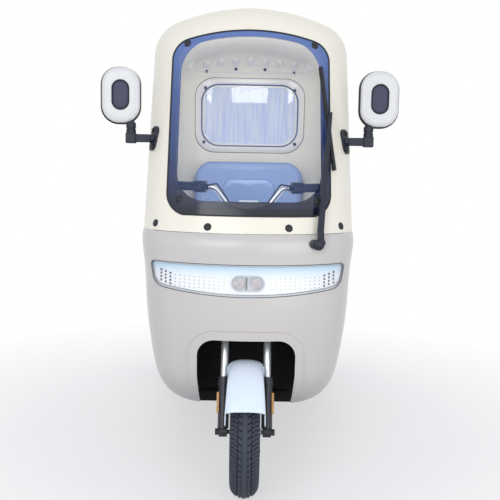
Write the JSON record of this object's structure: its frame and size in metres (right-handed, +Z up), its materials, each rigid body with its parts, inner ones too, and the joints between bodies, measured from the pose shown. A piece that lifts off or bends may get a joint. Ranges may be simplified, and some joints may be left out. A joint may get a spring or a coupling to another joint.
{
  "type": "electric tricycle with roof",
  "caption": "Compact electric tricycle with a moulded canopy, raked windscreen, strip headlamp, steered front wheel, tilting driver seat and a rear bench; open sides.",
  "frame": {"origin": "on the floor, under the middle of the overall length and width", "axes": "+Z up; the nose points to -Y; +Y is along the length towards the tail; +X is to the right of someone who faces the nose"},
  "size_m": [1.088, 2.052, 1.727],
  "materials": {
    "alloy": "satin",
    "amber": "gloss",
    "battery_case": "matte",
    "black_plastic": "satin",
    "bright_steel": "polished",
    "canopy_plastic": "satin",
    "fender_plastic": "gloss",
    "fork_black": "satin",
    "glass": "gloss",
    "lamp_clear": "gloss",
    "mirror": "polished",
    "mirror_shell_plastic": "gloss",
    "painted_steel": "satin",
    "red_lens": "gloss",
    "rubber": "matte",
    "shell_plastic": "satin",
    "tyre": "matte",
    "vinyl": "satin"
  },
  "bodies": {
    "body": {"front_shell": "shell_plastic", "windshield_frame": "canopy_plastic", "windshield": "glass", "roof": "canopy_plastic", "rear_wall": "canopy_plastic", "rear_window": "glass", "headlamp_lens": "lamp_clear", "headlamp_housing": "black_plastic", "wheel_arch_liner": "black_plastic", "dash_panel": "black_plastic", "floor_pan": "painted_steel", "chassis_frame": "painted_steel", "driver_seat_box": "painted_steel", "battery_pack": "battery_case", "rear_body": "shell_plastic", "rear_bench": "painted_steel", "rear_seat_cushion": "vinyl", "rear_backrest": "vinyl", "rear_wheel_wells": "black_plastic", "drive_axle": "painted_steel", "drive_motor": "painted_steel", "leaf_springs": "painted_steel", "tail_lamps": "red_lens", "rear_bumper": "bright_steel", "mirror_arms": "black_plastic", "mirror_shells": "mirror_shell_plastic", "mirror_glasses": "mirror", "wiper_spindle": "painted_steel"},
    "steering": {"fork_lower_legs": "fork_black", "fork_tubes": "bright_steel", "front_fender": "fender_plastic", "front_axle": "bright_steel", "brake_plate": "alloy", "fork_reflectors": "amber", "handlebar": "bright_steel", "grips": "rubber", "brake_levers": "black_plastic", "brake_cables": "black_plastic"},
    "front_wheel": {"tyre_front": "tyre", "wheel_front": "alloy"},
    "rear_left_wheel": {"tyre_rear_left": "tyre", "wheel_rear_left": "alloy"},
    "rear_right_wheel": {"tyre_rear_right": "tyre", "wheel_rear_right": "alloy"},
    "wiper": {"wiper_arm": "painted_steel", "wiper_blade": "rubber"},
    "driver_seat": {"driver_seat_base": "painted_steel", "driver_seat_cushion": "vinyl", "driver_backrest": "vinyl"}
  },
  "joints": [
    {"name": "steer", "type": "hinge", "parent": "body", "child": "steering", "pos_m": [0, -0.77828, 0.20121], "axis": [0, 0.4226, 0.9063], "range_deg": [-35, 35]},
    {"name": "front_spin", "type": "hinge", "parent": "steering", "child": "front_wheel", "pos_m": [0, -0.81, 0.216], "axis": [1, 0, 0], "continuous": true},
    {"name": "rear_left_spin", "type": "hinge", "parent": "body", "child": "rear_left_wheel", "pos_m": [-0.365, 0.64, 0.216], "axis": [1, 0, 0], "continuous": true},
    {"name": "rear_right_spin", "type": "hinge", "parent": "body", "child": "rear_right_wheel", "pos_m": [0.365, 0.64, 0.216], "axis": [1, 0, 0], "continuous": true},
    {"name": "wiper_sweep", "type": "hinge", "parent": "body", "child": "wiper", "pos_m": [0.241, -0.72148, 0.858], "axis": [0.3811, -0.8688, 0.3162], "range_deg": [0, 60]},
    {"name": "driver_seat_tilt", "type": "hinge", "parent": "body", "child": "driver_seat", "pos_m": [0, -0.08, 0.577], "axis": [1, 0, 0], "range_deg": [0, 45]}
  ]
}
